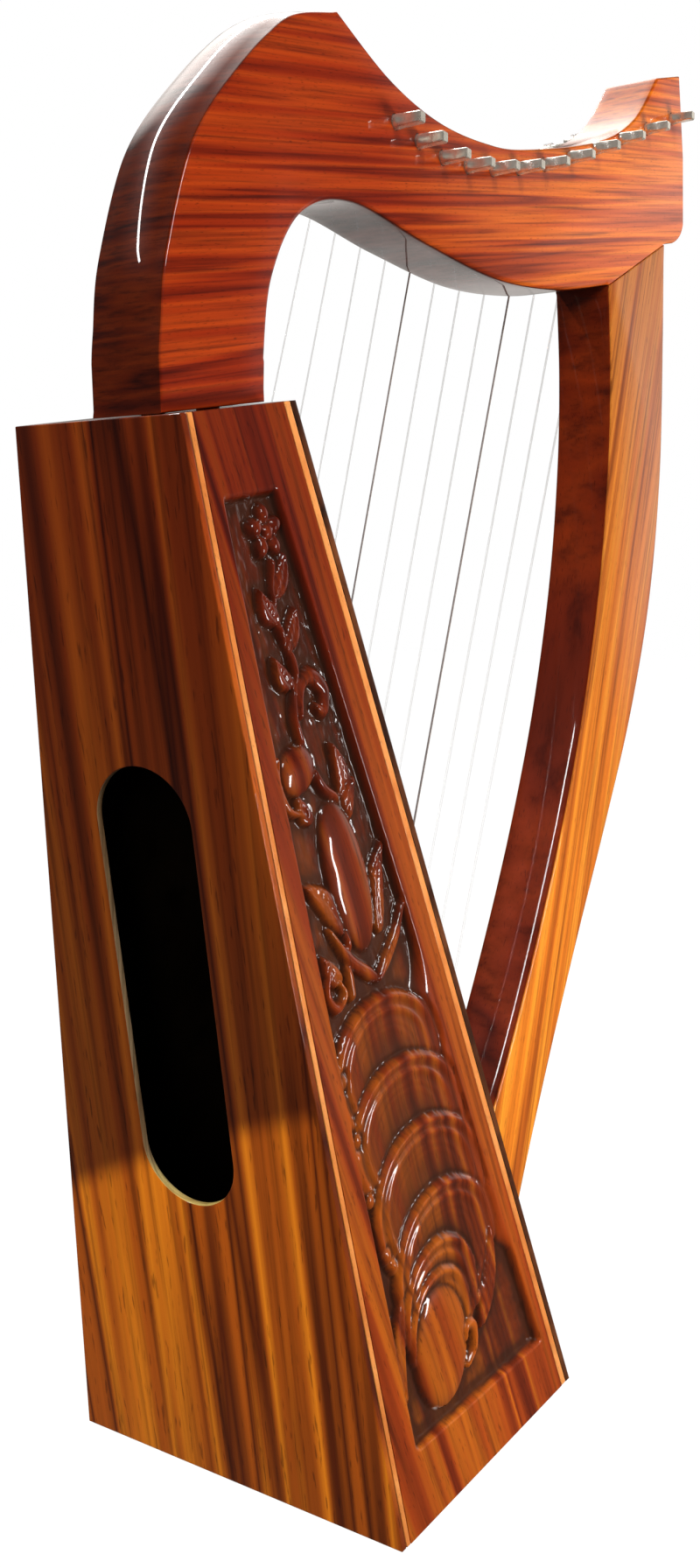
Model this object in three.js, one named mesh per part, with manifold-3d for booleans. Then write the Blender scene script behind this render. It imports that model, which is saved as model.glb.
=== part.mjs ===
// A twelve-string lap harp: a tapered, square-backed soundbox with carved sides, a scooped neck,
// a bowed pillar, tuning pins that turn in the neck, bridge pins and strings.
// Millimetres. +X runs from the soundbox's back towards the pillar, +Y to the player's left, +Z up.
// Inside the file x = 0 is the base's back edge; the last lines move the origin to the base's middle.
import * as THREE from "three";
import { mergeVertices } from "three/addons/utils/BufferGeometryUtils.js";
import Module from "manifold-3d";

const wasm = await Module();
wasm.setup();

// Driving dimensions of the soundbox.
const GAP = 0.3; // left between pieces that touch or are glued
const LEAN = THREE.MathUtils.degToRad(9.3); // how far the back leans from upright
const BACK_LENGTH = 400;
const BASE_DEPTH = 140;
const BASE_WIDTH = 152;
const TOP_DEPTH = 62;
const TOP_WIDTH = 70;
const BACK_THICK = 3;
const SIDE_THICK = 8;
const BOARD_THICK = 3;
const BASE_THICK = 8;
const TOP_BLOCK_THICK = 20;
const TOE_BLOCK = { deep: 28, wide: 60, high: 36 };
const BINDING = { back: 2.5, front: 3.5 };
const LINING = 8;
const SLOT = { halfWidth: 21, halfLength: 83, centre: 204, left: 2 };
const FIELD = { depth: 3.2, top: 27, bottom: 30, backTop: 13, backBottom: 20, frontTop: 24, frontBottom: 18 };

// Driving dimensions of the neck, the pillar and the stringing.
const NECK_THICK = 29;
const NECK_LEFT = 7; // the neck's left face; it stands right of the middle so that the strings don't
const POST_BACK = 6.8; // from the box top's back edge to the post's back
const POST_DEPTH = 54.2;
const PEAK = [40, 543];
const FINIAL_TOP = [364, 609];
const STRINGS = 12;
const PIN_R = 2.8;
const PIN_HOLE_R = 3.05;
const PIN_TAIL = 12;
const PIN_STUB = 16;
const FIRST_PIN_X = 79;
const FIRST_PIN_STEP = 17;
const PIN_STEP_GROWTH = 1.6;
const BRIDGE_R = 1.25;
const BRIDGE_DROP = 24;
const BRIDGE_SHIFT = -2;
const BRIDGE_DEEP = 11;
const STRING_OFFSET = 8; // from the neck's left face to the strings
const FIRST_STRING_S = 387.3; // up the soundboard, from its foot
const STRING_STEP = 30.6;
const STRING_R = { treble: 0.3, bass: 0.55 };
const STRING_HOLE_R = 1.15;
const KNOT_R = 1.9;
const RIB = { halfWidth: 7, outer: 2.5, inner: 4, from: 40.5, to: 416, innerFrom: 41, innerTo: 400 };
const DOWEL_R = 4;
const DOWEL_HALF = 15;
const TOP_DOWEL_R = 5;
const TOP_DOWEL_HALF = 20;
const BOLT = { r: 2.5, headR: 5, headHigh: 3.5, grip: 24, s: 27, apart: 14 };

const neckMiddle = NECK_LEFT - NECK_THICK / 2;
const backTop = new THREE.Vector3(-BACK_LENGTH * Math.sin(LEAN), 0, BACK_LENGTH * Math.cos(LEAN));
const topForward = new THREE.Vector3(Math.cos(LEAN), 0, Math.sin(LEAN));
const frontTop = backTop.clone().addScaledVector(topForward, TOP_DEPTH);
const frontFoot = new THREE.Vector3(BASE_DEPTH, 0, 0);
const boardUp = frontTop.clone().sub(frontFoot).normalize();
const boardOut = new THREE.Vector3(boardUp.z, 0, -boardUp.x);
const sideSlope = (BASE_WIDTH - TOP_WIDTH) / 2 / backTop.z;

const looks = {
  rosewood: new THREE.MeshStandardMaterial({ color: 0x7a2f12, roughness: 0.25, metalness: 0 }),
  backwood: new THREE.MeshStandardMaterial({ color: 0x8a3f18, roughness: 0.25, metalness: 0 }),
  boardwood: new THREE.MeshStandardMaterial({ color: 0x5a2a16, roughness: 0.35, metalness: 0 }),
  binding: new THREE.MeshStandardMaterial({ color: 0xd9a066, roughness: 0.3, metalness: 0 }),
  bare: new THREE.MeshStandardMaterial({ color: 0xc9a27a, roughness: 0.7, metalness: 0 }),
  steel: new THREE.MeshStandardMaterial({ color: 0xb9bcc0, roughness: 0.25, metalness: 1 }),
  brass: new THREE.MeshStandardMaterial({ color: 0xc8a452, roughness: 0.3, metalness: 1 }),
  nylon: new THREE.MeshStandardMaterial({ color: 0xe6e2d6, roughness: 0.3, metalness: 0 }),
  darkNylon: new THREE.MeshStandardMaterial({ color: 0x2a2422, roughness: 0.35, metalness: 0 }),
};

const harp = new THREE.Group();

function addPart(name, geometry, material) {
  const mesh = new THREE.Mesh(geometry, material);
  mesh.name = name;
  harp.add(mesh);
}

// ---- Solids -------------------------------------------------------------------------------------

function toSolid(geometry) {
  const plain = geometry.clone();
  plain.deleteAttribute("normal");
  plain.deleteAttribute("uv");
  const merged = mergeVertices(plain, 1e-4);
  return new wasm.Manifold(
    new wasm.Mesh({
      numProp: 3,
      vertProperties: new Float32Array(merged.attributes.position.array),
      triVerts: new Uint32Array(merged.index.array),
    }),
  );
}

function toGeometry(solid) {
  const mesh = solid.getMesh();
  const geometry = new THREE.BufferGeometry();
  geometry.setAttribute("position", new THREE.BufferAttribute(mesh.vertProperties, 3));
  geometry.setIndex(new THREE.BufferAttribute(mesh.triVerts, 1));
  return geometry;
}

function cut(geometry, cutters) {
  return toGeometry(cutters.reduce((solid, cutter) => solid.subtract(toSolid(cutter)), toSolid(geometry)));
}

function join(geometries) {
  return toGeometry(geometries.map(toSolid).reduce((all, solid) => all.add(solid)));
}

// Mirrors a geometry in the middle plane y = 0 and turns its faces back outwards.
function mirrorY(geometry) {
  const mirrored = geometry.clone().applyMatrix4(new THREE.Matrix4().makeScale(1, -1, 1));
  const plain = mirrored.index ? mirrored : mergeVertices(mirrored);
  const corners = plain.index.array;
  for (let i = 0; i < corners.length; i += 3) {
    [corners[i], corners[i + 1]] = [corners[i + 1], corners[i]];
  }
  return plain;
}

// A plane through a point, and the same plane moved into the wood it faces away from.
function planeAt(normal, point) {
  return new THREE.Plane().setFromNormalAndCoplanarPoint(normal.clone().normalize(), point);
}

function inset(plane, distance) {
  return new THREE.Plane(plane.normal.clone(), plane.constant + distance);
}

function meet(a, b, c) {
  const bc = new THREE.Vector3().crossVectors(b.normal, c.normal);
  const ca = new THREE.Vector3().crossVectors(c.normal, a.normal);
  const ab = new THREE.Vector3().crossVectors(a.normal, b.normal);
  const sum = bc.clone().multiplyScalar(-a.constant);
  sum.addScaledVector(ca, -b.constant).addScaledVector(ab, -c.constant);
  return sum.divideScalar(a.normal.dot(bc));
}

// A board between three pairs of planes: back and front, right and left, lower and upper.
function board([back, front], [right, left], [lower, upper]) {
  const positions = [];
  for (const z of [lower, upper]) {
    for (const y of [right, left]) {
      for (const x of [back, front]) positions.push(...meet(x, y, z).toArray());
    }
  }
  const quads = [
    [0, 2, 3, 1],
    [4, 5, 7, 6],
    [0, 1, 5, 4],
    [2, 6, 7, 3],
    [0, 4, 6, 2],
    [1, 3, 7, 5],
  ];
  const geometry = new THREE.BufferGeometry();
  geometry.setAttribute("position", new THREE.Float32BufferAttribute(positions, 3));
  geometry.setIndex(quads.flatMap(([a, b, c, d]) => [a, b, c, a, c, d]));
  return geometry;
}

// A round solid from a point along a direction: profile pairs are [radius, distance].
function turned(profile, from, direction, sides) {
  const geometry = new THREE.LatheGeometry(
    profile.map(([radius, distance]) => new THREE.Vector2(radius, distance)),
    sides,
  );
  const way = direction.clone().normalize();
  const turn = new THREE.Quaternion().setFromUnitVectors(new THREE.Vector3(0, 1, 0), way);
  return geometry.applyQuaternion(turn).translate(from.x, from.y, from.z);
}

function rod(radius, length, from, direction, sides = 16) {
  return turned([[0, 0], [radius, 0], [radius, length], [0, length]], from, direction, sides);
}

// An outline drawn in x and z, as thick as the neck and between the neck's two faces.
function neckSlab(shape) {
  const settings = { depth: NECK_THICK, bevelEnabled: false, curveSegments: 3 };
  const geometry = new THREE.ExtrudeGeometry(shape, settings);
  return geometry.rotateX(Math.PI / 2).translate(0, NECK_LEFT, 0);
}

function points(pairs) {
  return pairs.map(([x, z]) => new THREE.Vector2(x, z));
}

// ---- The soundbox's outer planes ----------------------------------------------------------------

const origin = new THREE.Vector3(0, 0, 0);
const BACK = planeAt(new THREE.Vector3(-Math.cos(LEAN), 0, -Math.sin(LEAN)), origin);
const FRONT = planeAt(boardOut, frontFoot);
const RIGHT = planeAt(new THREE.Vector3(0, -1, sideSlope), new THREE.Vector3(0, -BASE_WIDTH / 2, 0));
const LEFT = planeAt(new THREE.Vector3(0, 1, sideSlope), new THREE.Vector3(0, BASE_WIDTH / 2, 0));
const BOTTOM = planeAt(new THREE.Vector3(0, 0, -1), origin);
const TOP = planeAt(new THREE.Vector3(-Math.sin(LEAN), 0, Math.cos(LEAN)), backTop);
const baseTop = inset(BOTTOM, BASE_THICK + GAP);
const blockUnder = inset(TOP, TOP_BLOCK_THICK + GAP);
const underBoard = BOARD_THICK + GAP;
const underBack = BACK_THICK + GAP;
const insideSides = [inset(RIGHT, SIDE_THICK + GAP), inset(LEFT, SIDE_THICK + GAP)];
const insideDepth = [inset(BACK, underBack), inset(FRONT, underBoard)];

// The plane across the soundboard at a distance s up from its foot.
function across(s) {
  return planeAt(boardUp, boardPoint(s));
}

function boardPoint(s, out = 0, y = 0) {
  const point = frontFoot.clone().addScaledVector(boardUp, s).addScaledVector(boardOut, out);
  return point.setY(y);
}

function topPoint(forward, y = 0) {
  return backTop.clone().addScaledVector(topForward, forward).setY(y);
}

const stringS = Array.from({ length: STRINGS }, (_, i) => FIRST_STRING_S - i * STRING_STEP);
const boltSides = [neckMiddle - BOLT.apart / 2, neckMiddle + BOLT.apart / 2];
const dowelPlaces = [POST_BACK + POST_DEPTH * 0.24, POST_BACK + POST_DEPTH * 0.76];

// ---- Soundbox panels ----------------------------------------------------------------------------

function backPanel() {
  const panel = board([BACK, inset(BACK, BACK_THICK)], [RIGHT, LEFT], [BOTTOM, TOP]);
  const reach = SLOT.halfLength - SLOT.halfWidth;
  const slot = new THREE.Shape();
  slot.absarc(0, reach, SLOT.halfWidth, 0, Math.PI, false);
  slot.absarc(0, -reach, SLOT.halfWidth, Math.PI, 2 * Math.PI, false);
  const cutter = new THREE.ExtrudeGeometry(slot, { depth: 30, bevelEnabled: false, curveSegments: 14 });
  const up = backTop.clone().normalize();
  const out = BACK.normal.clone();
  const place = new THREE.Matrix4().makeBasis(new THREE.Vector3().crossVectors(up, out), up, out);
  const middle = up.clone().multiplyScalar(SLOT.centre).addScaledVector(out, -15).setY(SLOT.left);
  return cut(panel, [cutter.applyMatrix4(place.setPosition(middle))]);
}

// The sunk field on the right side's outer face, drawn forwards and up along the panel.
function fieldCutter() {
  const corner = meet(BACK, RIGHT, BOTTOM);
  const up = meet(BACK, RIGHT, TOP).sub(corner).normalize();
  const out = RIGHT.normal.clone();
  const forward = new THREE.Vector3().crossVectors(up, out);
  const along = (point) => {
    const reach = point.clone().sub(corner);
    return new THREE.Vector2(reach.dot(forward), reach.dot(up));
  };
  const lowFront = along(meet(FRONT, RIGHT, BOTTOM));
  const highFront = along(meet(FRONT, RIGHT, TOP));
  const highBack = along(meet(BACK, RIGHT, TOP));
  const field = new THREE.Shape([
    new THREE.Vector2(FIELD.backBottom, FIELD.bottom + lowFront.y * (FIELD.backBottom / lowFront.x)),
    new THREE.Vector2(lowFront.x - FIELD.frontBottom, lowFront.y + FIELD.bottom),
    new THREE.Vector2(highFront.x - FIELD.frontTop * 0.8, highFront.y - FIELD.top),
    new THREE.Vector2(FIELD.backTop, highBack.y - FIELD.top),
  ]);
  const cutter = new THREE.ExtrudeGeometry(field, { depth: FIELD.depth + 5, bevelEnabled: false });
  const place = new THREE.Matrix4().makeBasis(forward, up, out);
  return cutter.applyMatrix4(place.setPosition(corner.addScaledVector(out, -FIELD.depth)));
}

function sidePanel(outer) {
  const panel = board(
    [inset(BACK, underBack + BINDING.back + GAP), inset(FRONT, underBoard + BINDING.front + GAP)],
    outer === RIGHT ? [outer, inset(outer, SIDE_THICK)] : [inset(outer, SIDE_THICK), outer],
    [BOTTOM, TOP],
  );
  const field = fieldCutter();
  return cut(panel, [outer === RIGHT ? field : mirrorY(field)]);
}

function soundboard() {
  const panel = board([inset(FRONT, BOARD_THICK), FRONT], [RIGHT, LEFT], [BOTTOM, TOP]);
  return cut(panel, [...stringHoles(), ...boltHoles()]);
}

// Holes square through the soundboard and its ribs, one for each string.
function stringHoles() {
  return stringS.map((s) => rod(STRING_HOLE_R, 30, boardPoint(s, -15), boardOut, 10));
}

function boltHoles() {
  const from = -underBoard - TOE_BLOCK.deep - 10;
  const length = TOE_BLOCK.deep + BOLT.grip + 12;
  return boltSides.map((y) => rod(BOLT.r + GAP, length, boardPoint(BOLT.s, from, y), boardOut));
}

function baseBoard() {
  return board(insideDepth, insideSides, [BOTTOM, inset(BOTTOM, BASE_THICK)]);
}

function topBlock() {
  const block = board(insideDepth, insideSides, [inset(TOP, TOP_BLOCK_THICK), TOP]);
  return cut(block, dowelPlaces.map((forward) => dowelHole(forward)));
}

function dowelHole(forward) {
  const from = topPoint(forward, neckMiddle).addScaledVector(TOP.normal, -DOWEL_HALF - GAP);
  return rod(DOWEL_R + GAP, 2 * (DOWEL_HALF + GAP), from, TOP.normal);
}

function toeBlock() {
  const sides = [1, -1].map((hand) =>
    planeAt(new THREE.Vector3(0, -hand, 0), new THREE.Vector3(0, (-hand * TOE_BLOCK.wide) / 2, 0)),
  );
  const block = board(
    [inset(FRONT, underBoard + TOE_BLOCK.deep), inset(FRONT, underBoard)],
    sides,
    [baseTop, inset(BOTTOM, TOE_BLOCK.high)],
  );
  return cut(block, boltHoles());
}

// A rib along the soundboard's middle, between two depths from its face.
function rib(inner, outer, from, to) {
  const sides = [1, -1].map((hand) =>
    planeAt(new THREE.Vector3(0, -hand, 0), new THREE.Vector3(0, -hand * RIB.halfWidth, 0)),
  );
  const strip = board([inset(FRONT, -inner), inset(FRONT, -outer)], sides, [across(from), across(to)]);
  return cut(strip, stringHoles());
}

addPart("back_panel", backPanel(), looks.backwood);
addPart("side_panel_right", sidePanel(RIGHT), looks.rosewood);
addPart("side_panel_left", sidePanel(LEFT), looks.rosewood);
addPart("soundboard", soundboard(), looks.boardwood);
addPart("base_board", baseBoard(), looks.rosewood);
addPart("top_block", topBlock(), looks.rosewood);
addPart("toe_block", toeBlock(), looks.bare);
addPart("string_rib", rib(GAP, GAP + RIB.outer, RIB.from, RIB.to), looks.rosewood);
addPart("inner_rib", rib(-underBoard - RIB.inner, -underBoard, RIB.innerFrom, RIB.innerTo), looks.bare);

// Bindings between the sides and the boards that cover their edges, and linings glued in the corners.
for (const [hand, side] of [["right", RIGHT], ["left", LEFT]]) {
  const order = (outside, inside) => (side === RIGHT ? [outside, inside] : [inside, outside]);
  const wall = order(side, inset(side, SIDE_THICK));
  const corner = order(inset(side, SIDE_THICK + GAP), inset(side, SIDE_THICK + GAP + LINING));
  const inside = [baseTop, blockUnder];
  addPart(
    `back_binding_${hand}`,
    board([inset(BACK, underBack), inset(BACK, underBack + BINDING.back)], wall, [BOTTOM, TOP]),
    looks.binding,
  );
  addPart(
    `front_binding_${hand}`,
    board([inset(FRONT, underBoard + BINDING.front), inset(FRONT, underBoard)], wall, [BOTTOM, TOP]),
    looks.binding,
  );
  addPart(
    `back_lining_${hand}`,
    board([inset(BACK, underBack), inset(BACK, underBack + LINING)], corner, inside),
    looks.bare,
  );
  addPart(
    `front_lining_${hand}`,
    board([inset(FRONT, underBoard + LINING), inset(FRONT, underBoard)], corner, inside),
    looks.bare,
  );
}

// ---- Neck and pillar ----------------------------------------------------------------------------

const pillarJoint = [new THREE.Vector2(279, 489), new THREE.Vector2(349, 521)];
const jointAlong = pillarJoint[1].clone().sub(pillarJoint[0]).normalize();
const jointUp = new THREE.Vector2(-jointAlong.y, jointAlong.x);

// The tuning pins follow the neck's scooped edge a little below it.
const pinLine = new THREE.SplineCurve(points([[70, 517], [125, 511], [200, 527], [285, 558], [362, 588]]));

function heightOn(curve, x) {
  let low = 0;
  let high = 1;
  while (high - low > 1e-6) {
    const middle = (low + high) / 2;
    if (curve.getPoint(middle).x < x) low = middle;
    else high = middle;
  }
  return curve.getPoint(low).y;
}

const pinPlaces = Array.from({ length: STRINGS }, (_, i) => {
  const x = FIRST_PIN_X + FIRST_PIN_STEP * i + (PIN_STEP_GROWTH * i * (i - 1)) / 2;
  return new THREE.Vector3(x, 0, heightOn(pinLine, x));
});
const bridgePlaces = pinPlaces.map((pin) => new THREE.Vector3(pin.x + BRIDGE_SHIFT, 0, pin.z - BRIDGE_DROP));
const leftward = new THREE.Vector3(0, 1, 0);

function neckOutline() {
  const heel = topPoint(POST_BACK).addScaledVector(TOP.normal, GAP);
  const toe = topPoint(POST_BACK + POST_DEPTH).addScaledVector(TOP.normal, GAP);
  const shape = new THREE.Shape();
  shape.moveTo(toe.x, toe.z);
  shape.lineTo(heel.x, heel.z);
  shape.lineTo(-58.5, 412);
  shape.splineThru(points([[-58.5, 422], [-56.5, 446], [-43.5, 482], [-19, 511], [9, 534], PEAK]));
  shape.splineThru(
    points([[75, 530], [111, 524], [150, 525], [187, 531], [262, 552], [306, 573], [334, 600]]),
  );
  shape.lineTo(...FINIAL_TOP);
  shape.lineTo(373, 570);
  shape.lineTo(376, 536);
  shape.quadraticCurveTo(374, 528, 362, 524);
  shape.lineTo(pillarJoint[1].x, pillarJoint[1].y);
  shape.lineTo(pillarJoint[0].x, pillarJoint[0].y);
  shape.splineThru(points([[225, 478], [165, 472.5], [105, 476], [52, 481], [19, 471], [1, 446], [-4, 418]]));
  shape.closePath();
  return shape;
}

function bridgeHole(place) {
  const from = new THREE.Vector3(place.x, NECK_LEFT - BRIDGE_DEEP, place.z);
  return rod(BRIDGE_R + GAP, BRIDGE_DEEP + 5, from, leftward, 10);
}

function topDowel(radius, half) {
  const middle = pillarJoint[0].clone().lerp(pillarJoint[1], 0.5);
  const foot = middle.addScaledVector(jointUp, -half);
  const from = new THREE.Vector3(foot.x, neckMiddle, foot.y);
  return rod(radius, 2 * half, from, new THREE.Vector3(jointUp.x, 0, jointUp.y));
}

function neck() {
  const across = NECK_THICK + 10;
  const pinHoles = pinPlaces.map((pin) =>
    rod(PIN_HOLE_R, across, new THREE.Vector3(pin.x, NECK_LEFT - NECK_THICK - 5, pin.z), leftward),
  );
  return cut(neckSlab(neckOutline()), [
    ...pinHoles,
    ...bridgePlaces.map(bridgeHole),
    ...dowelPlaces.map(dowelHole),
    topDowel(TOP_DOWEL_R + GAP, TOP_DOWEL_HALF + GAP),
  ]);
}

function pillarOutline() {
  const [inner, outer] = pillarJoint.map((end) => end.clone().addScaledVector(jointUp, -GAP));
  const footBack = boardPoint(0, GAP);
  const heel = boardPoint(36, GAP);
  const shape = new THREE.Shape();
  shape.moveTo(footBack.x, footBack.z);
  shape.lineTo(179, 0);
  shape.splineThru(
    points([[201, 51], [229, 107], [260, 163], [293, 219], [323, 275], [345, 336], [355, 403], [354, 475]]),
  );
  shape.lineTo(outer.x, outer.y);
  shape.lineTo(inner.x, inner.y);
  shape.splineThru(
    points([[284, 448], [284, 402], [277, 345], [261, 283], [240, 229], [215, 178], [187, 129], [158, 85]]),
  );
  shape.lineTo(heel.x, heel.z);
  shape.closePath();
  return shape;
}

function pillar() {
  return cut(neckSlab(pillarOutline()), [...boltHoles(), topDowel(TOP_DOWEL_R + GAP, TOP_DOWEL_HALF + GAP)]);
}

function footBolt(y) {
  const seat = -underBoard - TOE_BLOCK.deep - GAP;
  const profile = [
    [0, -BOLT.headHigh],
    [BOLT.headR, -BOLT.headHigh],
    [BOLT.headR, 0],
    [BOLT.r, 0],
    [BOLT.r, TOE_BLOCK.deep + BOLT.grip],
    [0, TOE_BLOCK.deep + BOLT.grip],
  ];
  return turned(profile, boardPoint(BOLT.s, seat, y), boardOut, 16);
}

addPart("neck", neck(), looks.rosewood);
addPart("pillar", pillar(), looks.rosewood);
dowelPlaces.forEach((forward, i) => {
  const from = topPoint(forward, neckMiddle).addScaledVector(TOP.normal, -DOWEL_HALF);
  addPart(`neck_dowel_${i + 1}`, rod(DOWEL_R, 2 * DOWEL_HALF, from, TOP.normal), looks.bare);
});
addPart("pillar_dowel", topDowel(TOP_DOWEL_R, TOP_DOWEL_HALF), looks.bare);
boltSides.forEach((y, i) => addPart(`foot_bolt_${i + 1}`, footBolt(y), looks.steel));

// ---- Tuning pins, bridge pins and strings -------------------------------------------------------

function tuningPin(place) {
  const start = NECK_LEFT - NECK_THICK - PIN_TAIL;
  const round = PIN_TAIL - 2;
  const end = NECK_THICK + PIN_TAIL + PIN_STUB;
  const shank = turned(
    [[0, round], [PIN_R, round], [PIN_R, end - 0.8], [PIN_R - 0.8, end], [0, end]],
    new THREE.Vector3(place.x, start, place.z),
    leftward,
    16,
  );
  const flats = new THREE.CylinderGeometry(PIN_R * 1.1, PIN_R * 0.98, PIN_TAIL, 4, 1).rotateY(Math.PI / 4);
  flats.translate(place.x, start + PIN_TAIL / 2, place.z);
  const eyeFrom = new THREE.Vector3(place.x - 4, NECK_LEFT + PIN_STUB - 4, place.z);
  const eye = rod(0.9, 8, eyeFrom, new THREE.Vector3(1, 0, 0), 8);
  return toGeometry(toSolid(shank).add(toSolid(flats)).subtract(toSolid(eye)));
}

function bridgePin(place) {
  const length = BRIDGE_DEEP - GAP + STRING_OFFSET;
  return turned(
    [
      [0, 0],
      [BRIDGE_R, 0],
      [BRIDGE_R, length - 1],
      [BRIDGE_R - 0.35, length],
      [BRIDGE_R, length + 1],
      [BRIDGE_R, length + 2],
      [0, length + 2.6],
    ],
    new THREE.Vector3(place.x, NECK_LEFT - BRIDGE_DEEP + GAP, place.z),
    leftward,
    10,
  );
}

// A run of straight stretches; its sections stand exactly at the corners.
class Corners extends THREE.Curve {
  constructor(corners) {
    super();
    this.corners = corners;
  }
  getPoint(t, target = new THREE.Vector3()) {
    const at = Math.min(Math.max(t, 0), 1) * (this.corners.length - 1);
    const i = Math.min(Math.floor(at), this.corners.length - 2);
    return target.lerpVectors(this.corners[i], this.corners[i + 1], at - i);
  }
  getUtoTmapping(u) {
    return u;
  }
}

function tube(corners, radius) {
  const ring = Array.from({ length: 8 }, (_, i) => {
    const angle = (i * Math.PI) / 4;
    return new THREE.Vector2(radius * Math.cos(angle), radius * Math.sin(angle));
  });
  return new THREE.ExtrudeGeometry(new THREE.Shape(ring), {
    steps: corners.length - 1,
    extrudePath: new Corners(corners),
    bevelEnabled: false,
  });
}

// From the knot behind the inner rib, out through the ribs, past the bridge pin to the tuning pin.
function string(i) {
  const radius = THREE.MathUtils.lerp(STRING_R.treble, STRING_R.bass, i / (STRINGS - 1));
  const y = NECK_LEFT + STRING_OFFSET;
  const knot = boardPoint(stringS[i], -underBoard - RIB.inner - KNOT_R - GAP);
  const mouth = boardPoint(stringS[i], GAP + RIB.outer + 1);
  const bend = bridgePlaces[i].clone().setY(y);
  bend.x += BRIDGE_R + radius + GAP;
  const end = pinPlaces[i].clone().setY(y);
  end.x += PIN_R + radius + GAP;
  const below = bend.clone().lerp(mouth, 2 / bend.distanceTo(mouth));
  const above = bend.clone().lerp(end, 2 / bend.distanceTo(end));
  const ball = new THREE.IcosahedronGeometry(KNOT_R, 1).translate(knot.x, knot.y, knot.z);
  return join([tube([knot, mouth, below, above, end], radius), ball]);
}

for (let i = 0; i < STRINGS; i += 1) {
  const number = String(i + 1).padStart(2, "0");
  const dark = i === 4 || i === 8; // the coloured C and F strings
  addPart(`tuning_pin_${number}`, tuningPin(pinPlaces[i]), looks.steel);
  addPart(`bridge_pin_${number}`, bridgePin(bridgePlaces[i]), looks.brass);
  addPart(`string_${number}`, string(i), dark ? looks.darkNylon : looks.nylon);
}

harp.position.x = -BASE_DEPTH / 2;
const part = new THREE.Group();
part.add(harp);

export default part;
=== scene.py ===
import math

import bmesh
import bpy
import numpy as np
from mathutils import Matrix, Vector


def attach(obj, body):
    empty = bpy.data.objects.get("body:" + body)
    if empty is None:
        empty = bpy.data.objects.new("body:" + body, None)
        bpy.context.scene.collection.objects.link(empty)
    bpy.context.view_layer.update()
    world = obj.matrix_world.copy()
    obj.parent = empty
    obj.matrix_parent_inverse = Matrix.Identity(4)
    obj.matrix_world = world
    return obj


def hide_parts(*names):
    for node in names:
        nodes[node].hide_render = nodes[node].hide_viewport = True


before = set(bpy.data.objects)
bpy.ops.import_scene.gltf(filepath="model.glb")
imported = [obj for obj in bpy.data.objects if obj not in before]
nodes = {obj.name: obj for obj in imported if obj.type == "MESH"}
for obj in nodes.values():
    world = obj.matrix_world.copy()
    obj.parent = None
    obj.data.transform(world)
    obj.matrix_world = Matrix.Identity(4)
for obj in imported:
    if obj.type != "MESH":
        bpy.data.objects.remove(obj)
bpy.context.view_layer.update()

MM = 0.001
ORIGIN_X = 70.0  # the frame's origin, forward of the base's back edge, in millimetres
ROOT = "harp_frame"

# Driving dimensions of the object, in millimetres from the base's back edge, as the frame has them.
LEAN = math.radians(9.3)
BACK_LENGTH = 400.0
TOP_DEPTH = 62.0
TOP_WIDTH = 70.0
BASE_DEPTH = 140.0
BASE_WIDTH = 152.0
SIDE_THICK = 8.0
NECK_THICK = 29.0
NECK_LEFT = 7.0
NECK_RIGHT = NECK_LEFT - NECK_THICK
POST_BACK = 6.8
POST_DEPTH = 54.2
PIN_R = 2.8
PIN_HOLE_R = 3.05
PIN_TAIL = 12.0
PIN_STUB = 16.0
BRIDGE_R = 1.25
BRIDGE_DEEP = 11.0
BRIDGE_DROP = 24.0
BRIDGE_SHIFT = -2.0
STRING_OFFSET = 8.0
STRINGS = 12
DARK_STRINGS = (5, 9)
STRING_R = (0.30, 0.55)
FIRST_STRING_S = 387.3
STRING_STEP = 30.6
RIB_FACE = 2.8  # the string rib's outer face above the soundboard
RIB_BACK = 7.0  # the inner rib's inner face below the soundboard's outer face
SLOT_MIDDLE = (2.0, 204.0)  # leftwards, and up the back
SLOT_HALF = (21.0, 83.0)


def row(x, y, z):
    """A point given in millimetres from the base's back edge, in the frame's metres."""
    return Vector(((x - ORIGIN_X) * MM, y * MM, z * MM))


UP_BACK = Vector((-math.sin(LEAN), 0, math.cos(LEAN)))
TOP_ALONG = Vector((math.cos(LEAN), 0, math.sin(LEAN)))
BACK_OUT = -TOP_ALONG
BACK_TOP = UP_BACK * BACK_LENGTH
FRONT_TOP = BACK_TOP + TOP_ALONG * TOP_DEPTH
BOARD_UP = (FRONT_TOP - Vector((BASE_DEPTH, 0, 0))).normalized()
BOARD_OUT = Vector((BOARD_UP.z, 0, -BOARD_UP.x))


# ---- Camera, floor and light --------------------------------------------------------------------

def aim(obj, target):
    direction = Vector(target) - obj.location
    obj.rotation_euler = direction.to_track_quat("-Z", "Y").to_euler()


def make_camera():
    camera = bpy.data.objects.new("camera", bpy.data.cameras.new("camera"))
    bpy.context.scene.collection.objects.link(camera)
    camera.location = row(-414.2, -326.1, 344.1)
    camera.rotation_euler = (math.radians(82.21), 0, math.radians(-56.65))
    camera.data.sensor_width = 36.0
    camera.data.lens = 33.7
    camera.data.clip_start = 0.01
    bpy.context.scene.camera = camera


def new_light(name, kind, location, target, energy, color):
    data = bpy.data.lights.new(name, kind)
    data.energy = energy
    data.color = color
    light = bpy.data.objects.new(name, data)
    bpy.context.scene.collection.objects.link(light)
    light.location = location
    aim(light, target)
    return light


def area_light(name, location, target, size, energy, color=(1, 1, 1), reflected=True, roll=0.0):
    light = new_light(name, "AREA", location, target, energy, color)
    light.rotation_euler.rotate_axis("Z", math.radians(roll))
    light.visible_glossy = reflected
    light.data.shape = "RECTANGLE"
    light.data.size, light.data.size_y = size


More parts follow.
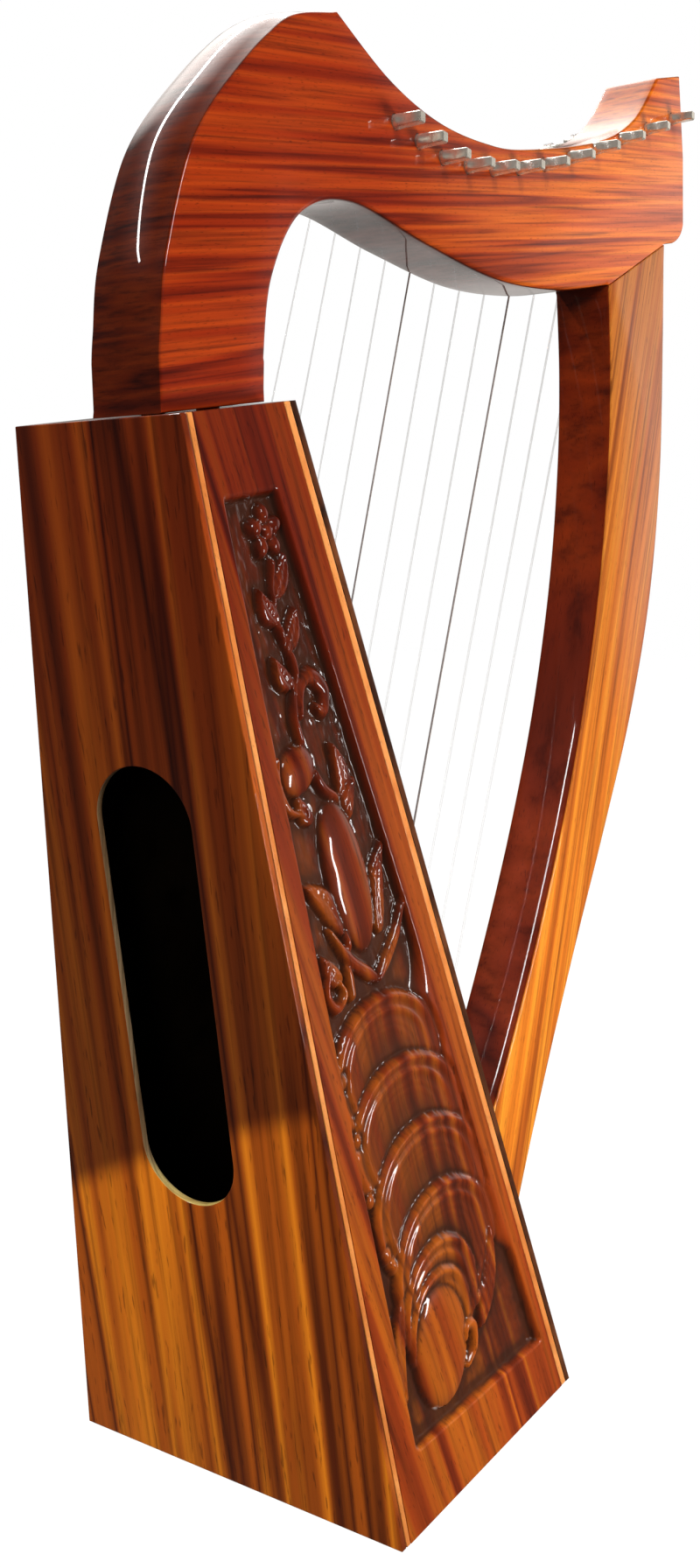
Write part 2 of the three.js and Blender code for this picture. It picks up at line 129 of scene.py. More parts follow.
def low_sun(location, half_angle=35.0, energy=120.0):
    """A hard-edged beam on the lower part: its upper edge crosses the back panel along a slanting line."""
    left = row(0, 0, 0) + UP_BACK * 0.115 + Vector((0, 0.071, 0))
    right = row(0, 0, 0) + UP_BACK * 0.174 + Vector((0, -0.055, 0))
    place = Vector(location)
    ahead = ((left + right) / 2 - place).normalized()
    edge = (right - left).normalized()
    down = ahead.cross(edge)
    down = down.normalized() * (-1 if down.z > 0 else 1)
    angle = math.radians(half_angle)
    axis = ahead * math.cos(angle) + down * math.sin(angle)
    light = new_light("low_sun", "SPOT", location, place + axis, energy, (0.86, 1.0, 0.36))
    light.visible_glossy = False
    light.data.spot_size = 2 * angle
    light.data.spot_blend = 0.01
    light.data.shadow_soft_size = 0.004


def make_stage():
    floor_mesh = bpy.data.meshes.new("floor")
    reach = 6.0
    corners = [(-reach, -reach, 0), (reach, -reach, 0), (reach, reach, 0), (-reach, reach, 0)]
    floor_mesh.from_pydata(corners, [], [(0, 1, 2, 3)])
    floor = bpy.data.objects.new("floor", floor_mesh)
    bpy.context.scene.collection.objects.link(floor)
    floor.visible_glossy = False
    floor.visible_diffuse = False
    paint = bpy.data.materials.new("floor_paint")
    paint.use_nodes = True
    shader = paint.node_tree.nodes["Principled BSDF"]
    shader.inputs["Base Color"].default_value = (0.06, 0.06, 0.06, 1)
    shader.inputs["Roughness"].default_value = 0.9
    shader.inputs["Specular IOR Level"].default_value = 0.0
    shader.inputs["Emission Color"].default_value = (1, 1, 1, 1)
    shader.inputs["Emission Strength"].default_value = 0.98
    floor_mesh.materials.append(paint)

    make_world()
    bpy.context.scene.view_settings.view_transform = "Standard"
    box = (0.06, 0, 0.27)
    crest = (-0.05, 0, 0.5)
    area_light("key", (0.72, -0.80, 0.12), (0.12, 0, 0.15), (0.45, 0.5), 15, (1, 0.88, 0.68), reflected=False)
    area_light("overhead", (0.0, -1.6, 1.7), box, (1.1, 0.9), 8, (1, 0.92, 0.82), reflected=False)
    area_light(
        "back_fill", (-1.6, -0.7, 0.75), (-0.05, 0, 0.2), (0.4, 0.9), 10, (1, 0.88, 0.70), reflected=False,
    )
    area_light("glint", (-0.25, -1.3, 1.25), box, (0.26, 0.50), 10)
    area_light("low_strip", (0.56, -1.0, 0.12), (-0.02, 0, 0.2), (0.10, 0.34), 3)
    area_light("crest_strip", (-0.25, 0.68, 1.45), crest, (2.2, 0.05), 12, roll=-20)
    low_sun((-1.5, 0.1, 0.6))


# Bright patches of the studio: where each lies, the cosine at its edge, and its strength.
SOFT_BOXES = (
    ((0.95, -0.20, 0.20), 0.93, 0.6),
    ((0.82, 0.52, -0.25), 0.85, 0.7),
    ((0.50, 0.42, 0.76), 0.86, 3.0),
)
STUDIO_DIM = 0.07


def make_world():
    """A dim studio with a few soft bright patches; seen directly it is white."""
    world = bpy.data.worlds.new("studio")
    world.use_nodes = True
    tree = world.node_tree
    tree.nodes.clear()
    direction = tree.nodes.new("ShaderNodeTexCoord").outputs["Generated"]
    strength = None
    for place, edge, level in SOFT_BOXES:
        facing = tree.nodes.new("ShaderNodeVectorMath")
        facing.operation = "DOT_PRODUCT"
        facing.inputs[1].default_value = Vector(place).normalized()
        tree.links.new(direction, facing.inputs[0])
        glow = tree.nodes.new("ShaderNodeMapRange")
        glow.interpolation_type = "SMOOTHSTEP"
        for key, number in (("From Min", edge), ("From Max", 1.0), ("To Max", level)):
            glow.inputs[key].default_value = number
        tree.links.new(facing.outputs["Value"], glow.inputs["Value"])
        total = tree.nodes.new("ShaderNodeMath")
        total.inputs[1].default_value = STUDIO_DIM
        if strength:
            tree.links.new(strength, total.inputs[1])
        tree.links.new(glow.outputs["Result"], total.inputs[0])
        strength = total.outputs[0]
    lit = tree.nodes.new("ShaderNodeBackground")
    lit.inputs["Color"].default_value = (1.0, 0.95, 0.90, 1)
    tree.links.new(strength, lit.inputs["Strength"])
    seen = tree.nodes.new("ShaderNodeBackground")
    seen.inputs["Color"].default_value = (1, 1, 1, 1)
    light_path = tree.nodes.new("ShaderNodeLightPath")
    mix = tree.nodes.new("ShaderNodeMixShader")
    output = tree.nodes.new("ShaderNodeOutputWorld")
    tree.links.new(light_path.outputs["Is Camera Ray"], mix.inputs[0])
    tree.links.new(lit.outputs[0], mix.inputs[1])
    tree.links.new(seen.outputs[0], mix.inputs[2])
    tree.links.new(mix.outputs[0], output.inputs[0])
    bpy.context.scene.world = world


# ---- Materials ----------------------------------------------------------------------------------

class Shader:
    """A short way to write node trees."""

    def __init__(self, name):
        self.material = bpy.data.materials.new(name)
        self.material.use_nodes = True
        self.tree = self.material.node_tree
        self.bsdf = self.tree.nodes["Principled BSDF"]

    def node(self, kind, inputs=(), **settings):
        made = self.tree.nodes.new("ShaderNode" + kind)
        for key, value in settings.items():
            setattr(made, key, value)
        for key, value in dict(inputs).items():
            self.feed(made.inputs[key], value)
        return made

    def feed(self, socket, value):
        if isinstance(value, bpy.types.NodeSocket):
            self.tree.links.new(value, socket)
        else:
            socket.default_value = value

    def mix(self, factor, a, b, blend="MIX"):
        made = self.node("Mix", data_type="RGBA", blend_type=blend)
        self.feed(made.inputs["Factor"], factor)
        self.feed(made.inputs["A"], a)
        self.feed(made.inputs["B"], b)
        return made.outputs["Result"]

    def ramp(self, value, stops):
        made = self.node("ValToRGB")
        self.feed(made.inputs["Fac"], value)
        elements = made.color_ramp.elements
        while len(elements) < len(stops):
            elements.new(0.5)
        for element, (place, color) in zip(elements, stops):
            element.position = place
            element.color = (*color, 1)
        return made.outputs["Color"]

    def scale(self, value, low, high, to_low=0.0, to_high=1.0):
        made = self.node("MapRange")
        self.feed(made.inputs["Value"], value)
        for key, number in (("From Min", low), ("From Max", high), ("To Min", to_low), ("To Max", to_high)):
            made.inputs[key].default_value = number
        return made.outputs["Result"]

    def noise(self, vector, scale, detail=3.0, roughness=0.55):
        settings = {"Vector": vector, "Scale": scale, "Detail": detail, "Roughness": roughness}
        return self.node("TexNoise", settings).outputs["Fac"]

    def grain_space(self, along, through, stretch):
        """The frame's coordinates turned so that Z runs along the grain and Y through the board's thickness,
        and squeezed along both."""
        place = self.node("TexCoord").outputs["Object"]
        grain = Vector(along).normalized()
        depth = Vector(through)
        depth = (depth - grain * depth.dot(grain)).normalized()
        turn = Matrix((depth.cross(grain), depth, grain))
        turned = self.node("Mapping", {"Vector": place, "Rotation": turn.to_euler()})
        return self.node("Mapping", {"Vector": turned.outputs[0], "Scale": (1, 0.12, stretch)}).outputs[0]


# Dark brown mixed into the carving: painted shade in its hollows and deeper parts, and a slightly darker tone
# over the whole sunk field.
CARVING_SHADE_AND_TONE = (0.030, 0.010, 0.005, 1)
NO_COAT = 0.0


def set_lacquer(shader, coat):
    bsdf = shader.bsdf
    bsdf.inputs["Coat Weight"].default_value = coat
    bsdf.inputs["Coat Roughness"].default_value = 0.035
    bsdf.inputs["Coat IOR"].default_value = 1.4
    bsdf.inputs["Specular IOR Level"].default_value = 0.06


def wood(
    name, along, through, tones, stripe=70.0, contrast=1.0, offset=(0, 0, 0), coat=1.0, streak=0.8, fade=None,
    carved=False,
):
    """Rosewood under lacquer, in dark, middle and light tones: stripes, streaks and pores along the grain."""
    dark, middle, light = tones
    shader = Shader(name)
    place = shader.grain_space(along, through, 0.016)
    shifted = shader.node("Mapping", {"Vector": place, "Location": offset}).outputs[0]
    waver = shader.node("TexNoise", {"Vector": shifted, "Scale": 14.0, "Detail": 1.0}).outputs["Color"]
    warped = shader.mix(0.004, shifted, waver)
    broad = shader.noise(warped, stripe, 2.0, 0.5)
    fine = shader.noise(warped, stripe * 6, 4.0, 0.6)
    pores_place = shader.node("Mapping", {"Vector": shifted, "Scale": (1, 8, 6)}).outputs[0]
    pores = shader.noise(pores_place, stripe * 20, 2.0, 0.5)
    half = 0.16 / contrast
    stripes = shader.ramp(
        shader.scale(broad, 0.5 - half, 0.5 + half),
        [(0.0, dark), (0.3, middle), (0.55, light), (0.72, middle), (0.86, dark), (1.0, middle)],
    )
    streaks = shader.ramp(
        shader.scale(fine, 0.3, 0.7),
        [(0.0, (0.25, 0.20, 0.18)), (0.45, (0.85, 0.84, 0.82)), (1.0, (1.15, 1.12, 1.05))],
    )
    color = shader.mix(streak, stripes, streaks, "MULTIPLY")
    pore_mask = shader.scale(pores, 0.62, 0.70, 0, 0.5)
    color = shader.mix(pore_mask, color, (*(c * 0.3 for c in dark), 1))
    # fade is a painted light and shade ramp along the board.
    if fade:
        color = painted_light_ramp(shader, color, *fade)
    # Carved faces darken towards the dark brown: painted shade in hollows and with depth, plus a slight tone
    # over the field.
    if carved:
        depth = shader.node("Attribute", attribute_name="cavity").outputs["Fac"]
        color = shader.mix(depth, color, CARVING_SHADE_AND_TONE)
    shader.feed(shader.bsdf.inputs["Base Color"], color)
    shader.feed(shader.bsdf.inputs["Roughness"], shader.scale(fine, 0.3, 0.7, 0.45, 0.30))
    ripple = shader.noise(shader.node("TexCoord").outputs["Object"], 30.0, 1.0)
    height = shader.node("Math", {0: fine, 1: 0.12}, operation="MULTIPLY").outputs[0]
    total = shader.node("Math", {0: height, 1: ripple}, operation="ADD").outputs[0]
    bump = shader.node("Bump", {"Height": total, "Strength": 0.10, "Distance": 0.0006})
    shader.feed(shader.bsdf.inputs["Normal"], bump.outputs[0])
    set_lacquer(shader, coat)
    return shader.material


def painted_light_ramp(shader, color, axis, start, end, tint):
    """Painted light and shade: the colour multiplied by the tint, more and more from start to end along the
    axis.
    """
    place = shader.node("TexCoord").outputs["Object"]
    along = shader.node("VectorMath", {0: place, 1: Vector(axis)}, operation="DOT_PRODUCT").outputs["Value"]
    tinted = shader.mix(1.0, color, (*tint, 1), "MULTIPLY")
    return shader.mix(shader.scale(along, start, end), color, tinted)


RED = ((0.12, 0.007, 0.001), (0.26, 0.020, 0.002), (0.38, 0.045, 0.004))
SIDE_RED = ((0.13, 0.014, 0.002), (0.32, 0.048, 0.005), (0.48, 0.12, 0.008))
GOLDEN = ((0.46, 0.105, 0.008), (0.72, 0.21, 0.016), (0.88, 0.33, 0.030))
# Darker tones painted as shade on the neck's and pillar's edges that look backwards or down.
SHADED_NECK_EDGE = ((0.050, 0.005, 0.002), (0.11, 0.012, 0.002), (0.15, 0.020, 0.003))
SHADED_PILLAR_EDGE = ((0.11, 0.009, 0.001), (0.20, 0.018, 0.002), (0.27, 0.030, 0.003))
STRIPED = ((0.06, 0.008, 0.002), (0.27, 0.050, 0.006), (0.50, 0.13, 0.012))
# Nearly black: painted shade for the faces and parts inside the box.
NEARLY_BLACK = ((0.004, 0.003, 0.002), (0.008, 0.005, 0.003), (0.012, 0.008, 0.005))
DARK_BROWN = ((0.030, 0.008, 0.003), (0.09, 0.026, 0.008), (0.15, 0.046, 0.014))
MAPLE = ((0.60, 0.19, 0.045), (0.70, 0.25, 0.065), (0.78, 0.32, 0.10))
UNSTAINED = ((0.42, 0.26, 0.14), (0.58, 0.40, 0.23), (0.70, 0.52, 0.33))

# Painted light and shade along each board, the neck lighter towards its front end and the pillar, sides
# and back darker towards the top: the axis, where it starts and ends in metres, and the tint.
NECK_PAINTED_LIGHT = ((1, 0, 0), 0.0, 0.22, (2.0, 4.2, 3.0))
PILLAR_PAINTED_SHADE = ((0, 0, 1), 0.12, 0.46, (0.50, 0.45, 0.80))
SIDE_PAINTED_SHADE = ((0, 0, 1), 0.04, 0.36, (0.45, 0.25, 0.35))
BACK_PAINTED_SHADE = ((0, 0, 1), 0.20, 0.36, (0.88, 0.65, 0.70))


def make_materials():
    across = Vector((0, 1, 0))
    forward = Vector((1, 0, 0))
    upright = Vector((0, 0, 1))
    leaning = Vector((0.3, 0, 1))
    rising = Vector((1, 0, 0.20))
    neck = dict(stripe=140, contrast=0.8, offset=(0.31, 0.1, 0))
    pillar = dict(stripe=80, contrast=0.8, offset=(1.7, 0.4, 0))
    side = dict(stripe=60, offset=(3.1, 0.2, 0), fade=SIDE_PAINTED_SHADE)
    return {
        "neck": wood("neck_rosewood", rising, across, RED, fade=NECK_PAINTED_LIGHT, **neck),
        # The edge woods are painted shade for the edges that look backwards or down.
        "neck_shaded_edge": wood("neck_shaded_edge_rosewood", rising, across, SHADED_NECK_EDGE, **neck),
        "pillar": wood("pillar_rosewood", leaning, across, GOLDEN, fade=PILLAR_PAINTED_SHADE, **pillar),
        "pillar_shaded_edge": wood("pillar_shaded_edge_rosewood", leaning, across, SHADED_PILLAR_EDGE, **pillar),
        "side": wood("side_rosewood", BOARD_UP, across, SIDE_RED, carved=True, **side),
        "rib": wood("rib_rosewood", BOARD_UP, across, SIDE_RED, **side),
        "block": wood("block_rosewood", TOP_ALONG, across, RED, stripe=70, offset=(5.2, 0, 0)),
        "back": wood(
            "back_rosewood", UP_BACK, forward, STRIPED, stripe=42, contrast=1.2, offset=(0.6, 2.4, 0),
            fade=BACK_PAINTED_SHADE,
        ),
        "board": wood("board_rosewood", BOARD_UP, forward, DARK_BROWN, stripe=120, offset=(2.2, 0.7, 0)),
        # Nearly black and uncoated: the painted shade of the box's inside.
        "inside": wood(
            "inside_painted_shade", upright, forward, NEARLY_BLACK, stripe=90, offset=(0, 1, 0), coat=NO_COAT,
        ),
        "binding": wood("binding_maple", BOARD_UP, forward, MAPLE, stripe=150, streak=0.2),
        "bare": wood("bare_wood", upright, across, UNSTAINED, stripe=140, offset=(0, 4, 0), coat=NO_COAT),
        "steel": metal("nickel", (1.0, 0.97, 0.90), 0.16),
        "brass": metal("brass", (0.83, 0.62, 0.27), 0.2),
        "clear": nylon("clear_nylon", (0.95, 0.95, 0.93), 0.12, clear=0.92, alpha=0.3),
        "dark": nylon("dark_nylon", (0.25, 0.22, 0.22), 0.25, clear=0.0, alpha=1.0),
    }


def metal(name, color, roughness):
    shader = Shader(name)
    place = shader.node("TexCoord").outputs["Object"]
    smudge = shader.noise(place, 260.0, 4.0)
    shader.bsdf.inputs["Metallic"].default_value = 0.72
    shade = shader.mix(shader.scale(smudge, 0.35, 0.7), (*color, 1), (*(c * 0.72 for c in color), 1))
    shader.feed(shader.bsdf.inputs["Base Color"], shade)
    shader.feed(shader.bsdf.inputs["Roughness"], shader.scale(smudge, 0.3, 0.7, roughness, roughness + 0.14))
    scratches = shader.noise(place, 900.0, 2.0)
    bump = shader.node("Bump", {"Height": scratches, "Strength": 0.12, "Distance": 0.0002})
    shader.feed(shader.bsdf.inputs["Normal"], bump.outputs[0])
    return shader.material


def nylon(name, color, roughness, clear, alpha):
    shader = Shader(name)
    place = shader.node("TexCoord").outputs["Object"]
    cloud = shader.noise(place, 300.0, 2.0)
    shade = shader.mix(shader.scale(cloud, 0.3, 0.7), (*color, 1), (*(c * 0.93 for c in color), 1))
    shader.feed(shader.bsdf.inputs["Base Color"], shade)
    shader.bsdf.inputs["Roughness"].default_value = roughness
    shader.bsdf.inputs["Transmission Weight"].default_value = clear
    shader.bsdf.inputs["Alpha"].default_value = alpha
    shader.bsdf.inputs["IOR"].default_value = 1.3
    return shader.material


# ---- Mesh helpers -------------------------------------------------------------------------------

def new_piece(name, mesh, material, body, node):
    piece = bpy.data.objects.new(name, mesh)
    bpy.context.scene.collection.objects.link(piece)
    if not mesh.materials:
        mesh.materials.append(material)
    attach(piece, body)
    if node:
        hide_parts(node)
    return piece


def smooth(mesh, angle=35):
    for polygon in mesh.polygons:
        polygon.use_smooth = True
    mesh.set_sharp_from_angle(angle=math.radians(angle))


def mesh_from(name, vertices, faces):
    mesh = bpy.data.meshes.new(name)
    mesh.from_pydata([tuple(v) for v in vertices], [], faces)
    mesh.update()
    return mesh


def cleaned_copy(node):
    """The CAD node's mesh with shared corners and flat faces made whole."""
    work = bmesh.new()
    work.from_mesh(nodes[node].data)
    bmesh.ops.remove_doubles(work, verts=work.verts, dist=2e-6)
    bmesh.ops.dissolve_limit(work, angle_limit=math.radians(0.6), verts=work.verts, edges=work.edges)
    return work


def eased(node, width, material, paint=None):
    """A replacement for a CAD board with its edges eased."""
    work = cleaned_copy(node)
    edges = [e for e in work.edges if e.is_manifold and e.calc_face_angle(0) > math.radians(30)]
    bmesh.ops.bevel(
        work, geom=edges, offset=width * MM, segments=3, profile=0.6, affect="EDGES", clamp_overlap=True,
    )
    mesh = bpy.data.meshes.new(node + "_wood")
    work.to_mesh(mesh)
    work.free()
    smooth(mesh)
    mesh.materials.append(material)
    if paint:
        paint(mesh)
    return new_piece(node + "_wood", mesh, material, ROOT, node)


def rings_to_faces(rings, sides):
    """Faces of a closed tube of rings, each a run of the same number of points, with flat ends."""
    faces = []
    for i in range(rings - 1):
        for k in range(sides):
            a = i * sides + k
            b = i * sides + (k + 1) % sides
            faces.append((a, b, b + sides, a + sides))
    faces.append(tuple(range(sides))[::-1])
    faces.append(tuple(range((rings - 1) * sides, rings * sides)))
    return faces


def turned(name, profile, start, axis, material, body, node, slot, sides=32, squareness=None):
    """A turned solid: profile pairs are (radius, distance along the axis) in millimetres from start.
    squareness gives a ring's half width as a share of its corner radius, where it isn't round."""
    axis = Vector(axis).normalized()
    side = axis.orthogonal().normalized() if abs(axis.y) < 0.9 else Vector((1, 0, 0))
    other = axis.cross(side)
    vertices = []
    for i, (radius, along) in enumerate(profile):
        flat = squareness[i] if squareness else 1.0
        for k in range(sides):
            angle = 2 * math.pi * (k + 0.5) / sides
            reach = radius * min(1.0, flat / max(abs(math.cos(angle)), abs(math.sin(angle))))
            out = side * math.cos(angle) + other * math.sin(angle)
            vertices.append(start + (out * reach + axis * along) * MM)
    mesh = mesh_from(name, vertices, rings_to_faces(len(profile), sides))
    point_outwards(mesh)
    smooth(mesh)
    return new_piece(name, mesh, material, body, node)


def tube(points, radius, sides=12):
    """A round tube along a list of points in metres, with closed ends: its vertices and faces."""
    points = [Vector(p) for p in points]
    count = len(points)
    tangents = []
    for i in range(count):
        ahead = points[min(i + 1, count - 1)]
        behind = points[max(i - 1, 0)]
        tangents.append((ahead - behind).normalized())
    side = tangents[0].orthogonal().normalized()
    vertices = []
    for i in range(count):
        side = (side - tangents[i] * side.dot(tangents[i])).normalized()
        other = tangents[i].cross(side)
        for k in range(sides):
            angle = 2 * math.pi * k / sides
            vertices.append(points[i] + (side * math.cos(angle) + other * math.sin(angle)) * radius)
    return vertices, rings_to_faces(count, sides)


def point_outwards(mesh):
    work = bmesh.new()
    work.from_mesh(mesh)
    bmesh.ops.recalc_face_normals(work, faces=work.faces)
    work.to_mesh(mesh)
    work.free()


def tubes_mesh(name, runs):
    """One mesh of several tubes, each given as (points, radius in metres)."""
    vertices, faces = [], []
    for points, radius in runs:
        base = len(vertices)
        more, around = tube(points, radius)
        vertices += more
        faces += [tuple(base + i for i in face) for face in around]
    mesh = mesh_from(name, vertices, faces)
    point_outwards(mesh)
    smooth(mesh, 50)
    return mesh


# ---- Outlines of the neck and the pillar --------------------------------------------------------

def spline(points, steps=14):
    """A curve through the points, as the frame's own outlines are drawn."""
    points = [np.array(p, float) for p in points]
    last = len(points) - 1
    curve = []
    for i in range(last):
        p0 = points[max(i - 1, 0)]
        p1, p2 = points[i], points[i + 1]
        p3 = points[min(i + 2, last)]
        v0, v1 = (p2 - p0) / 2, (p3 - p1) / 2
        cubic, square = 2 * p1 - 2 * p2 + v0 + v1, -3 * p1 + 3 * p2 - 2 * v0 - v1
        for t in np.linspace(0, 1, steps, endpoint=False):
            curve.append(cubic * t**3 + square * t**2 + v0 * t + p1)
    curve.append(points[-1])
    return curve


def straight(a, b, count):
    a, b = np.array(a, float), np.array(b, float)
    return [a + (b - a) * t for t in np.linspace(0, 1, count)]


def top_point(forward, up=0.0):
    point = BACK_TOP + TOP_ALONG * forward + UP_BACK * up
    return (point.x, point.z)


def board_point(s, out=0.0):
    point = Vector((BASE_DEPTH, 0, 0)) + BOARD_UP * s + BOARD_OUT * out
    return (point.x, point.z)


PEAK = (40, 543)
SCOOP_LOWEST = 0.5  # metres: the scooped edge lies above this height
PILLAR_JOINT = ((279, 489), (349, 521))
joint_along = (Vector(PILLAR_JOINT[1]) - Vector(PILLAR_JOINT[0])).normalized()
JOINT_UP = Vector((-joint_along.y, joint_along.x))


def chain(*runs):
    """Joins runs of (points, edge radius[, crown]) into one closed outline of [point, edge, crown]."""
    outline = []
    for points, edge, *crown in runs:
        for i, point in enumerate(points):
            height = crown[0](i / (len(points) - 1), point) if crown else 0.0
            radius = edge(i / (len(points) - 1)) if callable(edge) else edge
            if outline and np.hypot(*(outline[-1][0] - point)) < 0.05:
                outline[-1][1] = min(outline[-1][1], radius)
                continue
            outline.append([np.array(point, float), radius, height])
    if np.hypot(*(outline[0][0] - outline[-1][0])) < 0.05:
        outline.pop()
    return outline


def curve_through(start, control, end, count):
    """A quadratic curve from start to end, pulled towards control."""
    start, control, end = (np.array(p, float) for p in (start, control, end))
    return [(1 - t) ** 2 * start + 2 * t * (1 - t) * control + t * t * end for t in np.linspace(0, 1, count)]


EASED = 1.2
CREST_CROWN = 3.0
CREST_STOP = (413.0, 475.0)  # heights between which the crowned crest runs out into the square post


def crest_crown(t, point):
    """How far the crest's middle stands above its edges: nothing at the post, nothing at the peak."""
    rise = min(max((point[1] - CREST_STOP[0]) / (CREST_STOP[1] - CREST_STOP[0]), 0.0), 1.0)
    run_out = min((1.0 - t) / 0.22, 1.0)
    return CREST_CROWN * rise * (2 - rise) * run_out


def neck_outline():
    heel = top_point(POST_BACK, 0.3)
    toe = top_point(POST_BACK + POST_DEPTH, 0.3)
    crest = spline([(-58.5, 412), (-58.5, 422), (-56.5, 446), (-43.5, 482), (-19, 511), (9, 534), PEAK], 26)
    scoop = spline([PEAK, (75, 530), (111, 524), (150, 525), (187, 531), (262, 552), (306, 573), (334, 600)])
    corner = curve_through((376, 536), (374, 528), (362, 524), 9)
    arch = spline(
        [PILLAR_JOINT[0], (225, 478), (165, 472.5), (105, 476), (52, 481), (19, 471), (1, 446), (-4, 418)],
    )
    return chain(
        (straight(toe, heel, 8), 0.6),
        (straight(heel, (-58.5, 412), 8), EASED),
        (crest, EASED, crest_crown),
        (scoop, EASED),
        (straight((334, 600), (364, 609), 5), EASED),
        (straight((364, 609), (373, 570), 6), EASED),
        (straight((373, 570), (376, 536), 6), EASED),
        (corner, EASED),
        (straight((362, 524), PILLAR_JOINT[1], 4), EASED),
        (straight(PILLAR_JOINT[1], PILLAR_JOINT[0], 16), 0.5),
        (arch, 2.0),
        (straight((-4, 418), toe, 4), EASED),
    )


def pillar_outline():
    down = -JOINT_UP * 0.3
    inner = (PILLAR_JOINT[0][0] + down.x, PILLAR_JOINT[0][1] + down.y)
    outer = (PILLAR_JOINT[1][0] + down.x, PILLAR_JOINT[1][1] + down.y)
    foot = board_point(0, 0.3)
    heel = board_point(36, 0.3)
    low_front = [(179, 0), (201, 51), (229, 107), (260, 163), (293, 219)]
    front = spline(low_front + [(323, 275), (345, 336), (355, 403), (354, 475)])
    high_back = [inner, (284, 448), (284, 402), (277, 345), (261, 283)]
    back = spline(high_back + [(240, 229), (215, 178), (187, 129), (158, 85)])
    return chain(
        (straight(foot, (179, 0), 8), 0.6),
        (front, 4.0),
        (straight((354, 475), outer, 6), lambda t: 4.0 - 3.0 * t),
        (straight(outer, inner, 16), 0.5),
        (back, 1.6),
        (straight((158, 85), heel, 8), 1.6),
        (straight(heel, foot, 8), 0.5),
    )


def edge_section(radius, crown, arc_steps=6, crown_steps=9):
    """The board's edge from its right face to its left: pairs of (depth below the outline, y)."""
    half = NECK_THICK / 2
    middle = NECK_LEFT - half
    flat = half - radius
    section = []
    for angle in np.linspace(0, math.pi / 2, arc_steps):
        section.append((crown + radius * (1 - math.sin(angle)), -flat - radius * math.cos(angle)))
    for t in np.linspace(-1, 1, crown_steps)[1:-1]:
        section.append((crown * t * t, t * flat))
    section += [(depth, -y) for depth, y in section[:arc_steps][::-1]]
    return [(depth, middle + y) for depth, y in section]


def slab(name, outline):
    """A board of the neck's thickness with that outline and its two faces' edges rounded."""
    count = len(outline)
    places = [o[0] for o in outline]
    nexts = places[1:] + places[:1]
    area = sum(a[0] * b[1] - b[0] * a[1] for a, b in zip(places, nexts))
    turn = math.copysign(1.0, area)
    vertices = []
    for i in range(count):
        before = places[i] - places[i - 1]
        after = nexts[i] - places[i]
        normal_a = turn * np.array((-before[1], before[0])) / np.hypot(*before)
        normal_b = turn * np.array((-after[1], after[0])) / np.hypot(*after)
        mitre = normal_a + normal_b
        inward = mitre / max(np.dot(mitre, normal_b), 0.6)
        section = edge_section(outline[i][1], outline[i][2])
        per = len(section)
        for depth, y in section:
            x, z = places[i] + inward * depth
            vertices.append(row(x, y, z))
    faces = []
    for i in range(count):
        j = (i + 1) % count
        for k in range(per - 1):
            faces.append((i * per + k, j * per + k, j * per + k + 1, i * per + k + 1))
    faces.append(tuple(i * per for i in range(count))[::-1])
    faces.append(tuple(i * per + per - 1 for i in range(count)))
    mesh = mesh_from(name, vertices, faces)
    point_outwards(mesh)
    smooth(mesh, 40)
    return mesh


DRILL_PAST = 5  # how far the drills reach past the neck's faces


def drilled(mesh, holes, radius, sides=32):
    """The mesh with round holes through it along Y, at (x, z) places in millimetres."""
    vertices = []
    faces = []
    for x, z in holes:
        base = len(vertices)
        for y in (NECK_RIGHT - DRILL_PAST, NECK_LEFT + DRILL_PAST):
            for angle in np.linspace(0, 2 * math.pi, sides, endpoint=False):
                vertices.append(row(x + radius * math.cos(angle), y, z + radius * math.sin(angle)))
        faces.append(tuple(range(base, base + sides)))
        faces.append(tuple(range(base + 2 * sides - 1, base + sides - 1, -1)))
        for k in range(sides):
            after = (k + 1) % sides
            faces.append((base + k, base + sides + k, base + sides + after, base + after))
    drills_mesh = mesh_from("drills", vertices, faces)
    point_outwards(drills_mesh)
    drills = bpy.data.objects.new("drills", drills_mesh)
    board = bpy.data.objects.new("undrilled", mesh)
    for obj in (drills, board):
        bpy.context.scene.collection.objects.link(obj)
    boolean = board.modifiers.new("holes", "BOOLEAN")
    boolean.operation = "DIFFERENCE"
    boolean.solver = "EXACT"
    boolean.object = drills
    result = bpy.data.meshes.new_from_object(board.evaluated_get(bpy.context.evaluated_depsgraph_get()))
    for obj in (drills, board):
        bpy.data.objects.remove(obj)
    smooth(result, 40)
    return result


def make_slab(node, outline, face_wood, shaded_edge_wood, holes=()):
    """The edges that look backwards or down get the darker wood as painted shade; the scoop in front of the
    peak does not.
    """
    mesh = slab(node + "_board", outline)
    if holes:
        mesh = drilled(mesh, holes, PIN_HOLE_R)
    mesh.materials.append(face_wood)
    mesh.materials.append(shaded_edge_wood)
    peak = row(PEAK[0], 0, PEAK[1])
    for polygon in mesh.polygons:
        scoop = polygon.center.z > SCOOP_LOWEST and polygon.center.x > peak.x and polygon.normal.z > 0.3
        # Painted shade: faces looking backwards or down take the darker edge wood.
        if abs(polygon.normal.y) < 0.6 and polygon.normal.x < 0.35 and not scoop:
            polygon.material_index = 1
    new_piece(node + "_board", mesh, face_wood, ROOT, node)


# ---- Soundbox -----------------------------------------------------------------------------------

def paint_inside(mesh, inward, painted_shade_and_tone):
    """The face that looks into the box is painted nearly black as painted shade."""
    mesh.materials.append(painted_shade_and_tone)
    index = len(mesh.materials) - 1
    for polygon in mesh.polygons:
        if polygon.normal.dot(inward) > 0.9:
            polygon.material_index = index


